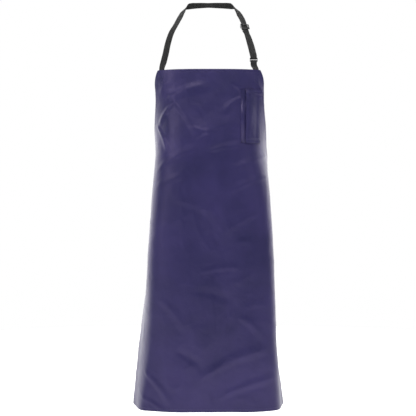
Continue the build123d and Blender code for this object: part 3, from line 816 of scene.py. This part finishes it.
X_AXIS, UP, BACK = np.eye(3)[0], np.eye(3)[2], np.eye(3)[1]
MID_FOLD_R = 2.25 * MM
MID_DROP = 4.15 * MM
RING, SLIDER = vec(143.9, -127.5, -199.7), vec(117.9, -65, -83.4)
RING_DOWN = unit(np.array((0, RING[1] - SLIDER[1], RING[2] - SLIDER[2])))
RING_OUT = np.array((0, RING_DOWN[2], -RING_DOWN[1]))
BAR_DROP = 5.3 * MM
UPPER_BAR, LOWER_BAR = RING - RING_DOWN * BAR_DROP, RING + RING_DOWN * BAR_DROP
RUN_FOOT, RETURN_FOOT = UPPER_BAR + RING_OUT * FOLD_R, UPPER_BAR - RING_OUT * FOLD_R
RUN = unit(RUN_FOOT - SLIDER)
RUN_WIDE = unit(np.array((-RUN[1], RUN[0], 0)))
RUN_OUT = np.cross(RUN, RUN_WIDE)
RUN_END = RUN_FOOT - RUN * 32 * MM

# Middle line of the strap round the neck, the direction of its width at each point, and
# whether its section stands square to it. It is creased, so not square, at both corners.
NECK_ROUTE = (
    ((-142, -130, -204.4), (-1, 0, 0), 1),
    ((-136.5, -117, -178), (-1, 0.05, 0), 1),
    ((-131.3, -99, -146.7), (-1, 0.15, 0), 1),
    ((-119.5, -76, -103.3), (-1, 0.3, 0), 1),
    ((-105.2, -56, -73.2), (-0.95, 0.4, -0.05), 1),
    ((-94.4, -37, -48.8), (-0.92, 0.4, 0.02), 1),
    ((-86, -22, -29), (-0.88, 0.4, -0.20), 0.6),
    ((-79.5, -12.5, -15.5), (-0.78, 0.25, -0.52), 0.1),
    ((-69.9, -7, -6.1), (-0.32, 0.1, -0.95), 0),
    ((-60, -3.5, -3.4), (-0.10, 0.3, -0.95), 0.5),
    ((-35, -0.8, -1), (-0.04, 0.6, -0.80), 1),
    ((0, 0, 0), (0, 0.77, -0.64), 1),
    ((40, -0.8, -0.8), (0.05, 0.6, -0.80), 1),
    ((72, -3.5, -3), (0.25, 0.3, -0.92), 0.5),
    ((82.9, -7, -5.4), (0.55, 0.1, -0.83), 0),
    ((91, -12.5, -14), (0.80, 0.25, -0.50), 0.1),
    ((97, -20, -25), (0.92, 0.4, -0.15), 0.6),
    ((103.7, -32, -40.5), (0.95, 0.28, 0.12), 1),
    ((109.8, -45, -54.5), (0.95, 0.30, 0.08), 1),
)
BEHIND = -(CLOTH_T + LAYER + 0.2 * MM + WEB_T / 2)     # webbing sewn behind the hems


def sewn_run(side, out):
    """Points of a strap end that lies flat behind the bib, from its top down."""
    z = PANEL_TOP - np.linspace(1 * MM, SEWN_DEPTH, 6)
    s = np.full(6, side * STRAP_S)
    return on_cloth(s, z, out), side * across_cloth(s, z)


def neck_webbing():
    """One length: sewn behind the left corner, round the neck, past the slider, to the ring."""
    sewn, sewn_wide = sewn_run(-1, BEHIND)
    turn = np.array((0.33, 0.66))[:, None]
    run = [SLIDER - RUN * 10 * MM, SLIDER + RUN * 10 * MM + X_AXIS * 0.4 * MM,
           (SLIDER + RUN_END) / 2 + X_AXIS * 0.6 * MM, RUN_END]
    points = np.concatenate((sewn[::-1], [vec(*place) for place, wide, square in NECK_ROUTE],
                             run, RUN_END + (RUN_FOOT - RUN_END) * turn, [RUN_FOOT]))
    wides = np.concatenate((sewn_wide[::-1], [wide for place, wide, square in NECK_ROUTE],
                            [RUN_WIDE] * 4, RUN_WIDE + (X_AXIS - RUN_WIDE) * turn, [X_AXIS]))
    square = np.concatenate((np.ones(6), [square for place, wide, square in NECK_ROUTE],
                             np.ones(7)))
    path, wide, square = smooth_path(points, wides, square)
    fold = round_bar(UPPER_BAR, RING_OUT, RING_DOWN)
    thing = web("neck_webbing", np.concatenate((path, fold[1:])),
                np.concatenate((wide, np.tile(X_AXIS, (12, 1)))), None,
                ["neck_strap", "left_strap_end"],
                square=np.concatenate((square, np.ones((12, 1)))))
    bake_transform(thing)


def webbing_through(name, points, wides, body, replaces):
    """Webbing along a smooth path through points, square to it all the way."""
    path, wide, _ = smooth_path(points, wides)
    return web(name, path, wide, body, replaces)


def neck_return():
    """The layer behind: from the fold at the ring up to the end sewn at the slider.

    Between its ends it has slipped sideways by 7.5 mm times the root of a sine.
    """
    top = SLIDER - RUN_OUT * (MID_DROP + MID_FOLD_R) + RUN * 9 * MM
    t = np.array((0, 0.12, 0.27, 0.6, 0.85, 1))[:, None]
    slip = RUN_WIDE * 7.5 * MM * np.sin(np.pi * t) ** 0.5
    points = RETURN_FOOT + (top - RETURN_FOOT) * t + slip
    thing = webbing_through("neck_webbing_return", points,
                            X_AXIS + (RUN_WIDE - X_AXIS) * np.minimum(t / 0.27, 1), "neck_loop",
                            ["neck_strap_return"])
    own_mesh(thing)


def sewn_fold(name, slider, run, out, wide, body, replaces):
    """A strap's end folded round its slider's middle bar and sewn back on itself."""
    bar = slider - out * MID_DROP
    front, back = bar + out * MID_FOLD_R, bar - out * MID_FOLD_R
    points = np.concatenate(([front + run * 5.5 * MM, front + run * 2.5 * MM],
                             round_bar(bar, out, -run, MID_FOLD_R),
                             [back + run * 4 * MM, back + run * 9 * MM]))
    webbing_through(name, points, np.tile(wide, (len(points), 1)), body, replaces)


def ring_tab():
    """Webbing folded over the ring's lower bar, both its layers sewn in behind the bib."""
    meet = LOWER_BAR + RING_DOWN * 15 * MM
    layer = WEB_T / 2 + 0.05 * MM
    front, wide = sewn_run(1, BEHIND)
    back = sewn_run(1, BEHIND - 2 * layer)[0]
    points = np.concatenate((front[::-1], [meet + RING_OUT * layer],
                             round_bar(LOWER_BAR, RING_OUT, -RING_DOWN),
                             [meet - RING_OUT * layer], back))
    wides = np.concatenate((wide[::-1], np.tile(X_AXIS, (15, 1)), wide))
    webbing_through("ring_tab_webbing", points, wides, "apron", ["ring_tab"])


BELT_Y = 75 * MM
BELT_BEND = 50 * MM
BAR_Y = BELT_Y - FOLD_R
SOCKET_BAR_X = -41 * MM
PRONG_BAR_X, LOOP_END = 20 * MM, 26 * MM
BELT_SLIDER_X = 110 * MM
BELT_RIGHT_END = 98 * MM
BELT_SPLIT_X = 63.5 * MM
RETURN_Y = BELT_Y - MID_DROP - MID_FOLD_R


def belt_point(x, y):
    """A place at the belt's height."""
    return np.array((x, y, BELT_Z))


def belt_side(side, end_x):
    """Points from the sewn end, on along the cloth's own heading, round a bend and across.

    The bend is an arc of radius BELT_BEND whose heading turns evenly to straight across.
    """
    sewn = on_cloth(side * (WAIST_HALF - np.linspace(BELT_SEWN, 1 * MM, 6)), BELT_Z, BEHIND)
    before, last = on_cloth(side * (WAIST_HALF - np.array((11, 0)) * MM), BELT_Z,
                            -2.95 * MM, rough=0.0)
    heading = unit(last - before)
    run = (BELT_Y - last[1] - BELT_BEND * (1 + side * heading[0])) / heading[1]
    start = last + heading * run
    first = math.atan2(heading[1], heading[0])
    turn = np.linspace(first, math.pi if side > 0 else 0.0, 9)
    spoke = lambda a: side * BELT_BEND * np.stack((np.sin(a), -np.cos(a), 0 * a), -1)
    arc = start - spoke(first) + spoke(turn)
    rest = [belt_point(x, BELT_Y) for x in np.linspace(arc[-1, 0], end_x, 5)[1:]]
    return np.concatenate((sewn, [last + heading * run * 0.6], arc, rest))


def belt():
    """The belt's left half, its right half, the run between, and the loop on the prong."""
    left = belt_side(-1, SOCKET_BAR_X)
    fold = round_bar(belt_point(SOCKET_BAR_X, BAR_Y), BACK, X_AXIS)
    inner = [belt_point(x, y) for x, y in (
        (SOCKET_BAR_X - 7 * MM, BAR_Y - FOLD_R + 1.9 * MM),
        (SOCKET_BAR_X - 15 * MM, BELT_Y - WEB_T - 0.1 * MM),
        (SOCKET_BAR_X - 26 * MM, BELT_Y - WEB_T - 0.1 * MM),
        (SOCKET_BAR_X - 37 * MM, BELT_Y - WEB_T - 0.1 * MM))]
    points = np.concatenate((left, fold[1:], inner))
    upright = lambda points: np.tile(UP, (len(points), 1))
    webbing_through("belt_left", points, upright(points), "apron", ["waist_strap_left"])
    right = belt_side(1, BELT_RIGHT_END)
    webbing_through("belt_right", right, upright(right), "apron", ["waist_strap_right"])
    loop = np.concatenate(([belt_point(LOOP_END, BELT_Y), belt_point(PRONG_BAR_X + 3 * MM, BELT_Y)],
                           round_bar(belt_point(PRONG_BAR_X, BAR_Y), BACK, -X_AXIS),
                           [belt_point(PRONG_BAR_X + 3 * MM, BAR_Y - FOLD_R),
                            belt_point(LOOP_END, RETURN_Y)]))
    webbing_through("prong_loop", loop, upright(loop), "buckle_prong", ["prong_strap_loop"])
    slack = (
        ("belt_run", LOOP_END, BELT_RIGHT_END, BELT_Y, "buckle_release", BELT_RIGHT_END,
         0.55, ["waist_strap_run"]),
        ("belt_return_prong_end", LOOP_END, BELT_SPLIT_X, RETURN_Y, "buckle_release",
         BELT_SPLIT_X, 0.14, ["waist_strap_return"]),
        ("belt_return_slider_end", BELT_SPLIT_X, BELT_SLIDER_X - 9 * MM, RETURN_Y,
         "waist_adjust", BELT_SPLIT_X, 0.19, ["waist_strap_return"]),
    )
    for name, x_low, x_high, y, joint, anchor, keep, replaces in slack:
        points = np.array([belt_point(x, y) for x in np.linspace(x_low, x_high, 5)])
        thing = webbing_through(name, points, upright(points), "apron", replaces)
        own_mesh(thing)


# ------------------------------------------------------------------ stage, light and camera
FLOOR_Z = HEM_Z - 170 * MM
FLOOR_RADIUS = 3.4
FLOOR_RINGS, FLOOR_SPOKES = 24, 96


def pale_floor():
    """A round pale floor: rings of points, a little brighter than the light makes it."""
    turn = np.linspace(0, 2 * np.pi, FLOOR_SPOKES, endpoint=False)
    reach = np.linspace(0.02, FLOOR_RADIUS, FLOOR_RINGS)[:, None]
    points = np.stack(np.broadcast_arrays(reach * np.cos(turn), reach * np.sin(turn), FLOOR_Z), -1)
    faces = quads(FLOOR_RINGS, FLOOR_SPOKES, wrap=True) + [list(range(FLOOR_SPOKES))]
    thing = mesh_object("floor", points, faces)
    made, tree, shader = material("pale floor")
    tone = noise_node(tree, object_place(tree), 1.5, 2.0)
    pale = ramp(tree, tone, ((0.3, (0.93, 0.93, 0.93)), (0.7, (0.96, 0.96, 0.96))))
    tree.links.new(pale, shader.inputs["Base Color"])
    tree.links.new(pale, shader.inputs["Emission Color"])
    shader.inputs["Emission Strength"].default_value = 0.35
    shader.inputs["Roughness"].default_value = 0.9
    thing.data.materials.append(made)


def softbox(name, place, aim, size, power):
    """A rectangular area light turned towards aim."""
    data = bpy.data.lights.new(name, "AREA")
    data.shape = "RECTANGLE"
    data.size, data.size_y = size
    data.energy = power
    thing = bpy.data.objects.new(name, data)
    bpy.context.scene.collection.objects.link(thing)
    thing.location = place
    thing.rotation_euler = (Vector(aim) - Vector(place)).to_track_quat("-Z", "Y").to_euler()


# The light from all round: its tone against the direction's y, mapped from -1..1 to 0..1.
WORLD_RAMP = ((0.0, (0.04, 0.04, 0.043)), (0.48, (0.07, 0.07, 0.073)), (0.66, (1.0, 1.0, 1.0)),
              (0.85, (1.0, 1.0, 1.0)))
WORLD_POWER = 2.6
# Name, place, size and power of each softbox, and the place that they all face.
SOFTBOXES = (
    ("left softbox", (-2.2, -2.2, 0.4), (0.8, 1.6), 26),
    ("right softbox", (2.2, -2.2, 0.4), (0.8, 1.6), 7),
    ("top softbox", (0.2, -2.0, 1.7), (1.6, 0.6), 62),
)
LIGHT_AIM = (0, -0.1, -0.65)


def studio():
    """White all round to the eye, but what lights the apron is white behind and dim in front."""
    world = bpy.data.worlds.new("studio")
    world.use_nodes = True
    tree = world.node_tree
    white = tree.nodes["Background"]
    white.inputs["Color"].default_value = (1, 1, 1, 1)
    light = node(tree, "ShaderNodeBackground")
    split = node(tree, "ShaderNodeSeparateXYZ")
    tree.links.new(node(tree, "ShaderNodeTexCoord").outputs["Generated"], split.inputs["Vector"])
    behind = sums(tree, "MULTIPLY_ADD", split.outputs["Y"], 0.5, 0.5)
    tree.links.new(ramp(tree, behind, WORLD_RAMP), light.inputs["Color"])
    light.inputs["Strength"].default_value = WORLD_POWER
    mixed = node(tree, "ShaderNodeMixShader")
    tree.links.new(node(tree, "ShaderNodeLightPath").outputs["Is Camera Ray"], mixed.inputs[0])
    tree.links.new(light.outputs[0], mixed.inputs[1])
    tree.links.new(white.outputs[0], mixed.inputs[2])
    tree.links.new(mixed.outputs[0], tree.nodes["World Output"].inputs["Surface"])
    bpy.context.scene.world = world
    for name, place, size, power in SOFTBOXES:
        softbox(name, place, LIGHT_AIM, size, power)


def camera():
    """Level, straight ahead of the bib, a little over three metres away."""
    data = bpy.data.cameras.new("camera")
    data.lens, data.sensor_width = 83.2, 36.0
    thing = bpy.data.objects.new("camera", data)
    bpy.context.scene.collection.objects.link(thing)
    thing.location = (-0.0016, -3.19, -0.672)
    thing.rotation_euler = (math.radians(90), 0, 0)
    bpy.context.scene.camera = thing


# ------------------------------------------------------------------ making it all
apron_cloth()
pocket_front()
pocket_gusset()
hem_stitches()
pocket_stitches()
strap_stitches()
neck_webbing()
neck_return()
ring_tab()
sewn_fold("neck_fold", SLIDER, RUN, RUN_OUT, RUN_WIDE, "neck_slider", ["neck_slider_fold"])
belt()
sewn_fold("belt_fold", belt_point(BELT_SLIDER_X, BELT_Y), -X_AXIS, BACK, UP, "waist_slider",
          ["waist_slider_fold"])
for part in ("neck_ring", "neck_slider", "waist_slider", "buckle_socket", "buckle_prong",
             "prong_arm_upper", "prong_arm_lower"):
    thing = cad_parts[part]
    thing.data.materials.clear()
    thing.data.materials.append(PLASTIC)

pale_floor()
studio()
camera()
bpy.context.scene.view_settings.view_transform = "Standard"
